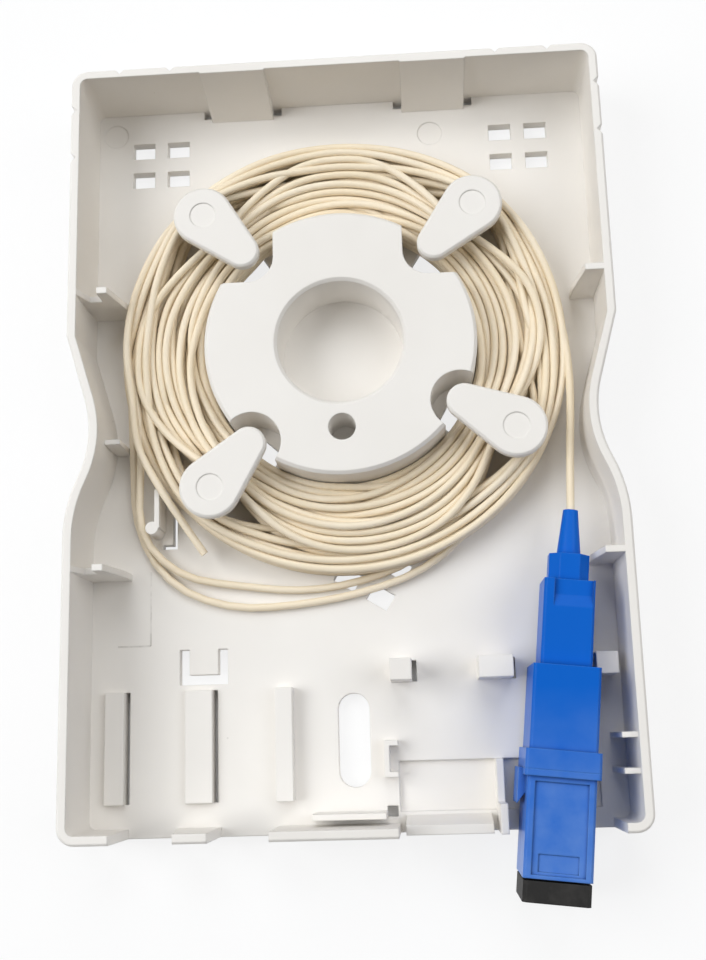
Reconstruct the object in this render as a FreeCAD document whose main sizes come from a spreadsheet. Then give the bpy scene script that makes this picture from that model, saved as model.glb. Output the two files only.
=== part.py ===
import FreeCAD, Part
import math
import os
import re

import Sketcher

# Fibre termination box: an open tray with a cable drum, its coiled fibre, a connector and its coupling.
# The tray lies on its back. The origin is the middle of its back face, +Z points out of the open side and
# +Y points to the edge opposite the cable entries. Lengths are millimetres and angles are degrees.

doc = FreeCAD.newDocument("fibre_termination_box")
sheet = doc.addObject("Spreadsheet::Sheet", "sizes")


def ref(text):
    """Write the sheet's name before each size in an expression."""
    return re.sub(r"[a-z][a-z_]*", lambda word: "sizes." + word[0] if word[0] in SIZES else word[0], text)


def value(text):
    return float(sheet.evalExpression(ref(text)))


# Driving sizes

SIZES = {
    # tray
    "tray_width": 84.2,
    "tray_length": 120.8,
    "tray_depth": 14.5,
    "floor_thickness": 1.8,
    "wall_thickness": 1.4,
    "corner_radius": 2.6,
    "rim_edge": 0.3,
    "back_edge": 0.7,
    # waist
    "waist_y": 0.3,
    "waist_depth": 3.7,
    "waist_radius": 17,
    "waist_slope": 16,
    "waist_lower_run": 16.6,
    # drum
    "hub_y": 13.8,
    "hub_radius": 21.2,
    "hub_height": 9.8,
    "hub_wall": 1.6,
    "hub_skin": 1.8,
    "recess_radius": 9.8,
    "hub_edge": 0.5,
    # drum screw hole
    "screw_offset": 13.8,
    "screw_bore_radius": 2.1,
    "screw_bore_depth": 8,
    "screw_boss_wall": 1.5,
    # drum notches
    "notch_corner": 10.2,
    "notch_round": 4,
    "scallop_radius": 4.6,
    "scallop_pitch": 20.9,
    # arms
    "arm_pitch": 30.3,
    "arm_end_radius": 4.7,
    "arm_tip_radius": 2.7,
    "arm_reach": 8.8,
    "arm_thickness": 1.5,
    "arm_edge": 0.35,
    "arm_lift": 8.9,
    "post_radius": 2.2,
    "witness_radius": 2.05,
    "witness_depth": 0.12,
    "witness_left_in": 2.8,
    "witness_left_down": 3.7,
    "witness_right_in": 25.25,
    "witness_right_down": 6.2,
    "window_margin": 0.4,
    # cover tabs
    "tab_x": 16.1,
    "tab_width": 10.4,
    "tab_base": 2.1,
    "tab_crest": 0.2,
    "tab_hole": 1.4,
    # vents
    "vent_width": 3.7,
    "vent_height": 2.8,
    "vent_pitch_x": 5.9,
    "vent_pitch_y": 5.3,
    "vent_x": 30.1,
    "vent_y": 49.6,
    "rear_vent_x": 3.6,
    "rear_vent_y": -21.3,
    "rear_vent_turn": -32,
    # gussets
    "gusset_thickness": 1,
    "gusset_upper_y": 22.7,
    "gusset_lower_y": -20.7,
    "gusset_groove_start": 1.2,
    "gusset_groove_end": 3.2,
    "gusset_groove_depth": 3.9,
    "gusset_crest_end": 4.8,
    "gusset_reach": 6.3,
    "gusset_foot": 4,
    "gusset_plain_crest": 2.8,
    "gusset_plain_reach": 3.8,
    # small ribs
    "rib_thickness": 0.8,
    "waist_rib_y": -0.5,
    "waist_rib_reach": 2.3,
    "waist_rib_height": 8,
    "stop_rib_reach": 2.2,
    "stop_rib_drop": 1.2,
    "stop_rib_y": -47.05,
    "stop_rib_pitch": 5,
    # break-outs
    "groove_side": 1.2,
    "groove_gap": 8.2,
    "groove_top_x": 30.2,
    "groove_side_y": 49.5,
    # cable entries
    "entry_left_x": -30.9,
    "entry_left_width": 7.4,
    "entry_right_x": -16.1,
    "entry_right_width": 8.8,
    "entry_flare": 1.8,
    "slot_width": 4.8,
    "slot_length": 14,
    "slot_y": -46.7,
    # cable plates
    "plate_length": 16.8,
    "plate_y": -47,
    "plate_low": 1.2,
    "plate_high": 2.4,
    "plate_outer_x": -36.75,
    "plate_outer_width": 3,
    "plate_middle_x": -23.7,
    "plate_middle_width": 4.2,
    "plate_inner_x": -10.5,
    "plate_inner_width": 2.6,
    "slit_width": 0.7,
    # cable hook
    "hook_x": -29.5,
    "hook_top_y": -7.6,
    "hook_end_y": -13.7,
    "hook_height": 5,
    "hook_foot_radius": 1,
    "hook_slot_length": 5,
    # tongue
    "tongue_x": -23.05,
    "tongue_width": 4.5,
    "tongue_top_y": -32.3,
    "tongue_end_y": -36.2,
    "tongue_slot": 1.5,
    # coupling bays
    "bay_margin": 4.1,
    "bay_gap_margin": 2.5,
    "bay_width": 14.45,
    "bay_post_y": -36.6,
    "bay_post_depth": 3.2,
    "bay_post_height": 7,
    "bay_post_width": 3.2,
    "bay_post_middle_width": 5.1,
    "bay_floor_top": -50,
    "bay_floor_depth": 0.8,
    "bay_sill": 1.6,
    "divider_width": 1.1,
    "divider_height": 3,
    "divider_post": 4.2,
    "divider_post_height": 9,
    "panel_height": 6.5,
    "panel_foot": 1.1,
    "panel_gap": 0.9,
    "guide_leg": 2.1,
    "guide_length": 5.4,
    "guide_y": -49.6,
    "guide_height": 2.5,
    # latch ledge
    "ledge_x": -0.7,
    "ledge_width": 10.8,
    "ledge_depth": 0.9,
    "ledge_gap": 0.9,
    "ledge_height": 6,
    "ledge_hole": 1.6,
    # connector axis
    "axis_inset": 8.63,
    "axis_shift": 0.35,
    "axis_turn": -6.3,
    # coupling
    "shell_width": 9.6,
    "shell_height": 12.8,
    "shell_half": 14.65,
    "band_rear": 2.8,
    "band_front": 0.9,
    "band_side": 0.5,
    "band_top": 0.7,
    "panel_inset": 0.35,
    "panel_margin": 1.05,
    "panel_start": 1.6,
    "panel_end": 0.5,
    "label_inset": 0.4,
    "label_length": 2.4,
    "label_width": 5.6,
    "label_depth": 0.2,
    "edge_chamfer": 0.35,
    "ear_reach": 1.1,
    "ear_length": 5,
    "ear_low": 5,
    "ear_high": 3,
    "ear_nose": 1.6,
    # sleeve holders
    "holder_plate": 1.2,
    "holder_tube_radius": 2.05,
    "holder_tube_length": 6.1,
    "holder_lip": 0.35,
    "latch_length": 7,
    "latch_width": 3.2,
    "latch_thickness": 0.4,
    "latch_hook": 0.8,
    "latch_hook_drop": 0.4,
    # alignment sleeve
    "sleeve_radius": 1.6,
    "sleeve_half": 5.6,
    "sleeve_split": 0.4,
    # plug grip
    "grip_width": 7.4,
    "grip_height": 9,
    "grip_start": 2.7,
    "grip_end": 27.2,
    "grip_skin": 0.5,
    "grip_rear_start": 20.6,
    "grip_step": 0.7,
    "grip_step_start": 23.2,
    "grip_ramp": 1.7,
    "grip_step_left": 1.5,
    "grip_step_right": 0.3,
    # plug frame
    "frame_start": 2.6,
    "frame_end": 20,
    "frame_throat": 7.4,
    "frame_chamber": 8,
    "latch_room": 0.8,
    "throat_radius": 1.5,
    # ferrule
    "ferrule_radius": 1.25,
    "ferrule_length": 10,
    "ferrule_chamfer": 0.25,
    "flange_radius": 2.1,
    "flange_start": 8.05,
    "flange_collar": 1.5,
    "flange_length": 3.4,
    "flange_tail_radius": 1.5,
    "fibre_bore": 0.5,
    # spring
    "spring_radius": 1.82,
    "spring_wire": 0.22,
    "spring_turns": 4,
    "spring_end": 16,
    # plug rear body
    "collar_start": 26.5,
    "collar_end": 31.2,
    "collar_width": 5.9,
    "collar_chamfer": 1.5,
    "shoulder_radius": 2.7,
    "tail_radius": 0.9,
    "tail_length": 3.2,
    # boot
    "boot_length": 6.85,
    "boot_base_radius": 1.8,
    "boot_tip_radius": 1.12,
    "crimp_radius": 1.2,
    "crimp_length": 2.9,
    # dust plug
    "dust_room": 0.65,
    "dust_cap": 2.9,
    "dust_cap_inset": 0.1,
    "dust_bore": 2.6,
    "dust_edge": 0.5,
    # clearances
    "fit_gap": 0.05,
    "bore_gap": 0.03,
    "slide_gap": 0.3,
    "coil_gap": 0.3,
    # cable
    "cable_diameter": 1.2,
    "coil_outer": 34.6,
    "coil_height": 8.5,
    "coil_crown": 30,
    "coil_edge": 4.5,
}
for row, (alias, number) in enumerate(SIZES.items(), 1):
    sheet.set(f"A{row}", alias)
    sheet.set(f"B{row}", str(number))
    sheet.setAlias(f"B{row}", alias)
doc.recompute()

ARM_ANGLES = (45, 134.5, 228, 330.5)
RIM = ("floor_thickness", "tray_depth")
THROUGH = ("-fit_gap", "floor_thickness + fit_gap")
INNER_X = "tray_width/2 - wall_thickness"
INNER_Y = "tray_length/2 - wall_thickness"
BAY_RIGHT = f"({INNER_X} - bay_margin)"
BAY_MIDDLE = f"({BAY_RIGHT} - bay_width - divider_width/2)"
BAY_LEFT = f"({BAY_RIGHT} - 2*bay_width - divider_width)"
VERTICAL = FreeCAD.Vector(0, 0, 1)
SIDEWAYS = FreeCAD.Vector(1, 0, 0)
TUBE_SIDES = 6


# Building blocks

def place(solid, x="0", y="0", z="0", turn=None):
    """Bind a solid's place to the sheet, with an optional turn about the vertical."""
    for axis, text in zip("xyz", (x, y, z)):
        solid.setExpression(f"Placement.Base.{axis}", ref(text))
    if turn is not None:
        solid.Placement.Rotation = FreeCAD.Rotation(VERTICAL, 1)
        solid.setExpression("Placement.Rotation.Angle", ref(turn))
    return solid


def block(label, x, y, z):
    """Box between two expressions on each axis."""
    solid = doc.addObject("Part::Box", label)
    for side, (low, high) in zip(("Length", "Width", "Height"), (x, y, z)):
        solid.setExpression(side, ref(f"({high}) - ({low})"))
    return place(solid, x[0], y[0], z[0])


def about(middle, width):
    """Low and high ends of a width about its middle."""
    return (f"({middle}) - ({width})/2", f"({middle}) + ({width})/2")


def above_floor(height):
    return ("floor_thickness", f"floor_thickness + ({height})")


def post(label, x, y, z, radius):
    """Upright cylinder."""
    solid = doc.addObject("Part::Cylinder", label)
    solid.setExpression("Radius", ref(radius))
    solid.setExpression("Height", ref(f"({z[1]}) - ({z[0]})"))
    return place(solid, x, y, z[0])


def taper(label, start, end, z):
    """Flat plate that widens or narrows along its own +Y; start and end are (y, half width)."""
    solid = doc.addObject("Part::Wedge", label)
    cells = {"Xmin": f"-({start[1]})", "Xmax": start[1], "X2min": f"-({end[1]})", "X2max": end[1],
             "Ymin": start[0], "Ymax": end[0], "Zmin": "0", "Z2min": "0"}
    for cell, text in cells.items():
        solid.setExpression(cell, ref(text))
    for cell in ("Zmax", "Z2max"):
        solid.setExpression(cell, ref(f"({z[1]}) - ({z[0]})"))
    return solid


def joined(label, solids):
    result = doc.addObject("Part::MultiFuse", label)
    result.Shapes = solids
    return result


def cut(label, base, tools):
    """Take tools away from a base."""
    result = doc.addObject("Part::Cut", label)
    result.Base = base
    result.Tool = tools[0] if len(tools) == 1 else joined(label + "_tools", tools)
    return result


def body_sketch(label, role, outline):
    """Body with one closed sketch on an origin plane.

    An outline point is (x, y), or (x, y, radius, side) where an arc leaves it: side 1 turns left, -1 right.
    """
    body = doc.addObject("PartDesign::Body", label)
    sketch = body.newObject("Sketcher::SketchObject", label + "_sketch")
    plane = next(item for item in body.Origin.OriginFeatures if item.Role == role)
    sketch.AttachmentSupport = [(plane, "")]
    sketch.MapMode = "FlatFace"
    spots = [FreeCAD.Vector(value(point[0]), value(point[1]), 0) for point in outline]
    ends = []
    for index, point in enumerate(outline):
        first = spots[index]
        last = spots[(index + 1) % len(spots)]
        if len(point) == 2:
            sketch.addGeometry(Part.LineSegment(first, last))
            ends.append((1, 2))
            continue
        radius = value(point[2])
        chord = last - first
        rise = math.sqrt(max(radius ** 2 - chord.Length ** 2 / 4, 0))
        left = FreeCAD.Vector(-chord.y, chord.x, 0).normalize()
        centre = (first + last) / 2 + left * rise * point[3]
        start, stop = (first, last) if point[3] > 0 else (last, first)
        angles = [math.atan2(spot.y - centre.y, spot.x - centre.x) for spot in (start, stop)]
        sketch.addGeometry(Part.ArcOfCircle(Part.Circle(centre, VERTICAL, radius), *angles))
        ends.append((1, 2) if point[3] > 0 else (2, 1))
    for index, point in enumerate(outline):
        following = (index + 1) % len(outline)
        sketch.addConstraint(Sketcher.Constraint("Coincident", index, ends[index][1], following, ends[following][0]))
        for kind, text, number in zip(("DistanceX", "DistanceY"), point, spots[index]):
            rule = sketch.addConstraint(Sketcher.Constraint(kind, -1, 1, index, ends[index][0], number))
            sketch.setExpression(f"Constraints[{rule}]", ref(text))
        if len(point) > 2:
            rule = sketch.addConstraint(Sketcher.Constraint("Radius", index, value(point[2])))
            sketch.setExpression(f"Constraints[{rule}]", ref(point[2]))
    return body, sketch


def extruded(label, role, outline, length, symmetric=False):
    body, sketch = body_sketch(label, role, outline)
    pad = body.newObject("PartDesign::Pad", label + "_pad")
    pad.Profile = sketch
    pad.setExpression("Length", ref(length))
    if symmetric:
        pad.SideType = "Symmetric"
    return body


def ease_edges(body, height, size):
    """Chamfer the edges of a body that lie at one height."""
    doc.recompute()
    solid = body.Tip
    level = value(height)
    picked = []
    for number, edge in enumerate(solid.Shape.Edges, 1):
        heights = [corner.Z for corner in edge.Vertexes] + [edge.CenterOfMass.z]
        if max(abs(z - level) for z in heights) < value("fit_gap")/10:
            picked.append(f"Edge{number}")
    chamfer = body.newObject("PartDesign::Chamfer", f"{body.Label}_edge_{len(body.Group)}")
    chamfer.Base = (solid, picked)
    chamfer.setExpression("Size", ref(size))
    return body


def turned(label, role, outline):
    """Round piece: the outline is turned about the sketch's upright axis."""
    body, sketch = body_sketch(label, role, outline)
    spin = body.newObject("PartDesign::Revolution", label + "_turn")
    spin.Profile = sketch
    spin.ReferenceAxis = (sketch, ["V_Axis"])
    spin.Angle = 360
    return body


def bar(label, half_x, half_z, chamfer, start, end):
    """Bar along the connector's axis with chamfered long edges."""
    flat_x = f"({half_x} - {chamfer})"
    flat_z = f"({half_z} - {chamfer})"
    corners = [(half_x, flat_z), (flat_x, half_z), (f"-{flat_x}", half_z), (f"-({half_x})", flat_z),
               (f"-({half_x})", f"-{flat_z}"), (f"-{flat_x}", f"-({half_z})"), (flat_x, f"-({half_z})"),
               (half_x, f"-{flat_z}")]
    solid = extruded(label, "XZ_Plane", corners, f"({end}) - ({start})")
    return place(solid, y=end)


def ring(label, outer, inner, start, end):
    """Plain tube along the connector's axis."""
    return turned(label, "XY_Plane", [(inner, start), (outer, start), (outer, end), (inner, end)])


# Tray shell: an outline with rounded corners and a waist on each side, padded up and hollowed

def tray_outline(inset):
    """Half of the outline runs up the right side, and the other half is its mirror image."""
    half_x = f"(tray_width/2 - {inset})"
    half_y = f"(tray_length/2 - {inset})"
    round_off = f"(corner_radius - {inset})"
    hollow = f"(waist_radius + {inset})"
    lower_sum = "((waist_lower_run^2 + waist_depth^2)/(2*waist_depth))"
    shoulder = f"({lower_sum} - waist_radius - {inset})"
    share = f"(waist_radius + {inset})/{lower_sum}"
    flank_y = f"waist_y + {hollow}*sin(waist_slope)"
    flank_x = f"{half_x} - waist_depth + {hollow}*(1 - cos(waist_slope))"
    flank_rise = "waist_radius*sin(waist_slope)"
    flank_run = "(waist_depth - waist_radius*(1 - cos(waist_slope)))/tan(waist_slope)"
    crease_y = f"waist_y + {flank_rise} + {flank_run} - {inset}*tan(waist_slope/2)"
    right = [
        (f"{half_x} - {round_off}", f"-{half_y}", round_off, 1),
        (half_x, f"-{half_y} + {round_off}"),
        (half_x, "waist_y - waist_lower_run", shoulder, 1),
        (f"{half_x} - waist_depth*(1 - {share})", f"waist_y - waist_lower_run*{share}", hollow, -1),
        (flank_x, flank_y),
        (half_x, crease_y),
        (half_x, f"{half_y} - {round_off}", round_off, 1),
        (f"{half_x} - {round_off}", half_y),
    ]
    left = []
    for index in range(len(right) - 1, -1, -1):
        point = (f"-({right[index][0]})", right[index][1])
        left.append(point + right[index - 1][2:] if index else point)
    return right + left


def entry_gap(side, flare):
    """Cable entry through the bottom wall, from the floor to the rim; one flank may lean."""
    low, high = about(f"entry_{side}_x", f"entry_{side}_width")
    outline = [(low, "floor_thickness"), (high, "floor_thickness"), (f"{high} + {flare}", "tray_depth"),
               (low, "tray_depth")]
    gap = extruded(f"entry_gap_{side}", "XZ_Plane", outline, "wall_thickness")
    return place(gap, y=f"-({INNER_Y})")


def tray_shell():
    """The outside has an eased rim and a broader chamfer round its back."""
    outside = extruded("tray_outside", "XY_Plane", tray_outline("0"), "tray_depth")
    ease_edges(outside, "tray_depth", "rim_edge")
    ease_edges(outside, "0", "back_edge")
    inside = extruded("tray_inside", "XY_Plane", tray_outline("wall_thickness"), "tray_depth - floor_thickness")
    place(inside, z="floor_thickness")
    bays = block("bay_gap", (BAY_LEFT, f"{INNER_X} - bay_gap_margin"), ("-tray_length/2", f"-({INNER_Y})"), RIM)
    gaps = [entry_gap("left", "entry_flare"), entry_gap("right", "0")]
    return cut("tray_shell", outside, [inside, bays] + gaps)


# Cable drum: a hollow hub with a round recess, notches under the arms and a screw hole

def hub_notches(label, grow, z):
    """The two upper notches are square with a round corner, the two lower ones are scallops."""
    cuts = []
    corner = f"notch_corner - {grow}"
    radius = f"notch_round + {grow}"
    reach = "hub_radius"
    for side, sign in (("right", 1), ("left", -1)):
        near, rounded, far = (corner, "notch_corner + notch_round", reach)
        spans = [(near, far) if sign > 0 else (f"-({far})", f"-({near})"),
                 (rounded, far) if sign > 0 else (f"-({far})", f"-({rounded})")]
        cuts.append(block(f"{label}_{side}_tall", spans[0], (f"hub_y + {rounded}", f"hub_y + {far}"), z))
        cuts.append(block(f"{label}_{side}_wide", spans[1], (f"hub_y + {corner}", f"hub_y + {far}"), z))
        cuts.append(post(f"{label}_{side}_corner", f"{sign}*({rounded})", f"hub_y + {rounded}", z, radius))
    for index, angle in enumerate(ARM_ANGLES[2:]):
        cuts.append(post(f"{label}_scallop_{index}", f"scallop_pitch*cos({angle})",
                         f"hub_y + scallop_pitch*sin({angle})", z, f"scallop_radius + {grow}"))
    return cuts


def hub_solid():
    """The drum is turned with an eased top edge, and then notched."""
    top = "floor_thickness + hub_height"
    drum = turned("hub_drum", "XZ_Plane", [
        ("0", "floor_thickness"), ("hub_radius", "floor_thickness"),
        ("hub_radius", f"{top} - hub_edge"), ("hub_radius - hub_edge", top), ("0", top)])
    place(drum, y="hub_y")
    return cut("hub", drum, hub_notches("notch", "0", above_floor("hub_height")))


def hub_recess(top):
    """Round recess down to the floor, with a small lead-in at its mouth."""
    mouth = f"{top} - hub_edge"
    recess = turned("hub_recess", "XZ_Plane", [
        ("0", "floor_thickness"), ("recess_radius", "floor_thickness"), ("recess_radius", mouth),
        ("recess_radius + hub_edge", top), ("recess_radius + hub_edge", f"{top} + fit_gap"),
        ("0", f"{top} + fit_gap")])
    return place(recess, y="hub_y")


def hub_cuts():
    """The recess from the front, and from the back the hollow that leaves even walls."""
    top = "floor_thickness + hub_height"
    hollow_z = ("-fit_gap", f"{top} - hub_skin")
    bore_z = (f"{top} - screw_bore_depth", f"{top} + fit_gap")
    screw_y = "hub_y - screw_offset"
    core = post("hub_core", "0", "hub_y", hollow_z, "hub_radius - hub_wall")
    keep = hub_notches("notch_wall", "hub_wall", hollow_z)
    keep.append(post("recess_wall", "0", "hub_y", hollow_z, "recess_radius + hub_wall"))
    keep.append(post("screw_boss", "0", screw_y, hollow_z, "screw_bore_radius + screw_boss_wall"))
    return [
        hub_recess(top),
        post("screw_bore", "0", screw_y, bore_z, "screw_bore_radius"),
        cut("hub_hollow", core, keep),
    ]


# Retaining arms: teardrop plates on posts, with a window in the floor under each

def arm(index, angle):
    """Plate with two round ends and tangent flanks, on its post. Its top edge is eased."""
    lean = "(arm_end_radius - arm_tip_radius)/arm_reach"
    square = f"sqrt(1 - ({lean})^2)"
    end = (f"arm_end_radius*{square}", f"arm_end_radius*{lean}")
    tip = (f"arm_tip_radius*{square}", f"arm_reach + arm_tip_radius*{lean}")
    plate = extruded(f"arm_plate_{index}", "XY_Plane", [
        end, (*tip, "arm_tip_radius", 1), ("0", "arm_reach + arm_tip_radius", "arm_tip_radius", 1),
        (f"-{tip[0]}", tip[1]), (f"-{end[0]}", end[1], "arm_end_radius", 1),
        ("0", "-arm_end_radius", "arm_end_radius", 1)], "arm_thickness")
    ease_edges(plate, "arm_thickness", "arm_edge")
    spot = (f"arm_pitch*cos({angle})", f"hub_y + arm_pitch*sin({angle})")
    place(plate, *spot, "floor_thickness + arm_lift", f"{angle} + 90")
    return [plate, post(f"arm_post_{index}", *spot, above_floor("arm_lift"), "post_radius")]


def arm_cuts(index, angle):
    """Window in the floor as wide as the arm, and the round witness mark on its end."""
    spot = (f"arm_pitch*cos({angle})", f"hub_y + arm_pitch*sin({angle})")
    top = "floor_thickness + arm_lift + arm_thickness"
    window = taper(f"arm_window_{index}", ("post_radius + window_margin", "arm_end_radius"),
                   ("arm_reach + arm_tip_radius + window_margin", "arm_tip_radius"), THROUGH)
    place(window, *spot, THROUGH[0], f"{angle} + 90")
    mark = post(f"witness_{index}", *spot, (f"{top} - witness_depth", f"{top} + fit_gap"), "witness_radius")
    return [window, mark]


def floor_marks():
    """Round witness marks of the mould's ejector pins on the floor, near the cover tabs."""
    skin = ("floor_thickness - witness_depth", "floor_thickness + fit_gap")
    left = (f"-({INNER_X}) + witness_left_in", f"{INNER_Y} - witness_left_down")
    right = (f"{INNER_X} - witness_right_in", f"{INNER_Y} - witness_right_down")
    return [post("floor_mark_left", *left, skin, "witness_radius"),
            post("floor_mark_right", *right, skin, "witness_radius")]


# Wall details

def gussets():
    """Plates that stiffen the ends of the waist; the left pair has a groove for the cover's skirt."""
    rim = "tray_depth"
    foot = "floor_thickness"
    grooved = [
        (f"-({INNER_X})", foot), (f"-({INNER_X}) + gusset_reach", foot),
        (f"-({INNER_X}) + gusset_reach", f"{foot} + gusset_foot"),
        (f"-({INNER_X}) + gusset_crest_end", rim), (f"-({INNER_X}) + gusset_groove_end", rim),
        (f"-({INNER_X}) + gusset_groove_end", f"{rim} - gusset_groove_depth"),
        (f"-({INNER_X}) + gusset_groove_start", f"{rim} - gusset_groove_depth"),
        (f"-({INNER_X})", rim),
    ]
    plain = [
        (INNER_X, foot), (INNER_X, rim), (f"{INNER_X} - gusset_plain_crest", rim),
        (f"{INNER_X} - gusset_plain_reach", f"{foot} + gusset_foot"), (f"{INNER_X} - gusset_plain_reach", foot),
    ]
    plates = []
    for level in ("upper", "lower"):
        for side, outline in (("left", grooved), ("right", plain)):
            plate = extruded(f"gusset_{level}_{side}", "XZ_Plane", outline, "gusset_thickness", symmetric=True)
            plates.append(place(plate, y=f"gusset_{level}_y"))
    return plates


def small_ribs():
    """One rib at the left waist, and two stops on the right wall beside the coupling."""
    ribs = [block("waist_rib", (f"-({INNER_X}) + waist_depth", f"-({INNER_X}) + waist_depth + waist_rib_reach"),
                  about("waist_rib_y", "rib_thickness"), above_floor("waist_rib_height"))]
    for index in range(2):
        ribs.append(block(f"stop_rib_{index}", (f"{INNER_X} - stop_rib_reach", INNER_X),
                          about(f"stop_rib_y - {index}*stop_rib_pitch", "rib_thickness"),
                          ("floor_thickness", "tray_depth - stop_rib_drop")))
    return ribs


def cover_tabs():
    """Sloping tabs on the top wall, each a profile drawn in the plane across the wall."""
    outline = [(INNER_Y, "floor_thickness"), (INNER_Y, "tray_depth"), (f"{INNER_Y} - tab_crest", "tray_depth"),
               (f"{INNER_Y} - tab_base", "floor_thickness")]
    tabs = []
    for side, sign in (("left", "-"), ("right", "")):
        tab = extruded(f"cover_tab_{side}", "YZ_Plane", outline, "tab_width", symmetric=True)
        tabs.append(place(tab, x=f"{sign}tab_x"))
    return tabs


def cover_tab_holes():
    holes = []
    for side, sign in (("left", "-"), ("right", "")):
        for end, shift in (("inner", "-"), ("outer", "+")):
            middle = f"{sign}tab_x {shift} (tab_width + tab_hole)/2"
            holes.append(block(f"tab_hole_{side}_{end}", about(middle, "tab_hole"),
                               (f"{INNER_Y} - tab_hole", INNER_Y), THROUGH))
    return holes


def break_out_grooves():
    """Pairs of upright V grooves in the outside of the wall mark the break-out panels."""
    spots = []
    for sign in ("-", ""):
        for shift in ("-", "+"):
            spots.append((f"{sign}groove_top_x {shift} groove_gap/2", "tray_length/2"))
            spots.append((f"{sign}tray_width/2", f"groove_side_y {shift} groove_gap/2"))
    grooves = []
    for index, (x, y) in enumerate(spots):
        groove = block(f"groove_{index}", ("0", "groove_side"), ("0", "groove_side"), ("0", "tray_depth"))
        grooves.append(place(groove, x, f"{y} - groove_side*sqrt(0.5)", "0", "45"))
    return grooves


# Floor details

def vents(label, x, y, turn):
    """Two by two square holes through the floor."""
    holes = []
    for column in (-1, 1):
        for row in (-1, 1):
            across = f"({column}*vent_pitch_x - vent_width)/2"
            along = f"({row}*vent_pitch_y - vent_height)/2"
            hole = block(f"{label}_{column + 1}{row + 1}", ("0", "vent_width"), ("0", "vent_height"), THROUGH)
            holes.append(place(hole, f"{x} + {across}*cos({turn}) - {along}*sin({turn})",
                               f"{y} + {across}*sin({turn}) + {along}*cos({turn})", THROUGH[0], turn))
    return holes


def cable_plates():
    """Low plates that part the two cable channels."""
    plates = []
    for name, height in (("outer", "plate_low"), ("middle", "plate_low"), ("inner", "plate_high")):
        plates.append(block(f"plate_{name}", about(f"plate_{name}_x", f"plate_{name}_width"),
                            about("plate_y", "plate_length"), above_floor(height)))
    return plates


def cable_plate_slits():
    slits = []
    for name in ("outer", "middle"):
        edge = f"plate_{name}_x + plate_{name}_width/2"
        slits.append(block(f"plate_slit_{name}", (edge, f"{edge} + slit_width"),
                           about("plate_y", "plate_length"), THROUGH))
    return slits


def cable_hook():
    height = above_floor("hook_height")
    return [
        block("hook_blade", about("hook_x", "rib_thickness"), ("hook_end_y", "hook_top_y"), height),
        post("hook_foot", "hook_x - rib_thickness", "hook_end_y", height, "hook_foot_radius"),
    ]


def cable_hook_slits():
    """A slit on each side of the hook; the right one turns in under its foot."""
    left = "hook_x - rib_thickness/2"
    right = "hook_x + 2*rib_thickness"
    low = "hook_end_y - 2*hook_foot_radius"
    return [
        block("hook_slit_left", (f"{left} - slit_width", left), ("hook_top_y - hook_slot_length", "hook_top_y"),
              THROUGH),
        block("hook_slit_right", (right, f"{right} + slit_width"), (low, f"{low} + hook_slot_length"), THROUGH),
        block("hook_slit_foot", ("hook_x", f"{right} + slit_width"), (f"{low} - slit_width", low), THROUGH),
    ]


def tongue_slots():
    """U-shaped slot that frees a tongue at its lower end."""
    sides = about("tongue_x", "tongue_width")
    slots = [block("tongue_bar", (f"{sides[0]} - tongue_slot", f"{sides[1]} + tongue_slot"),
                   ("tongue_end_y - tongue_slot", "tongue_end_y"), THROUGH)]
    slots.append(block("tongue_leg_left", (f"{sides[0]} - tongue_slot", sides[0]),
                       ("tongue_end_y", "tongue_top_y"), THROUGH))
    slots.append(block("tongue_leg_right", (sides[1], f"{sides[1]} + tongue_slot"),
                       ("tongue_end_y", "tongue_top_y"), THROUGH))
    return slots


def wall_slot():
    """Oblong slot for the screw that holds the tray to a wall."""
    straight = "(slot_length - slot_width)"
    parts = [block("slot_middle", about("0", "slot_width"), about("slot_y", straight), THROUGH)]
    for end, sign in (("top", "+"), ("low", "-")):
        parts.append(post(f"slot_{end}", "0", f"slot_y {sign} {straight}/2", THROUGH, "slot_width/2"))
    return parts


# Coupling bays: two places side by side, the left one empty and closed by its break-out panel

def break_out_panel(left, right):
    """Low panel in the wall of the empty bay, thicker at its foot."""
    inner = f"-({INNER_Y})"
    top = "floor_thickness + panel_height"
    panel = extruded("bay_panel", "YZ_Plane", [
        ("-tray_length/2", "floor_thickness"), (f"{inner} + panel_foot", "floor_thickness"), (inner, top),
        ("-tray_length/2", top)], f"({right}) - ({left})")
    return place(panel, x=left)


def bay_walls():
    depth = about("bay_post_y", "bay_post_depth")
    height = above_floor("bay_post_height")
    front = "-tray_length/2"
    left_post = (f"{BAY_LEFT} - slit_width", f"{BAY_LEFT} - slit_width + bay_post_width")
    right_post = (f"{BAY_RIGHT} - slit_width/2", f"{BAY_RIGHT} - slit_width/2 + bay_post_width")
    divider = about(BAY_MIDDLE, "divider_width")
    guide = about("guide_y", "guide_length")
    guide_x = f"{BAY_LEFT} - guide_leg"
    walls = [
        block("bay_post_left", left_post, depth, height),
        block("bay_post_middle", about(BAY_MIDDLE, "bay_post_middle_width"), depth, height),
        block("bay_post_right", right_post, depth, height),
        block("bay_divider", divider, (front, "bay_floor_top"), ("floor_thickness - bay_floor_depth",
                                                                 "floor_thickness + divider_height")),
        block("bay_divider_post", divider, (front, f"{front} + divider_post"), above_floor("divider_post_height")),
        break_out_panel(f"{BAY_LEFT} + panel_gap", f"{divider[0]} - panel_gap"),
        block("guide_spine", (guide_x, f"{guide_x} + rib_thickness"), guide, above_floor("guide_height")),
    ]
    for end, y in (("low", (guide[0], f"{guide[0]} + rib_thickness")),
                   ("top", (f"{guide[1]} - rib_thickness", guide[1]))):
        walls.append(block(f"guide_leg_{end}", (guide_x, BAY_LEFT), y, above_floor("guide_height")))
    return walls


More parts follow.
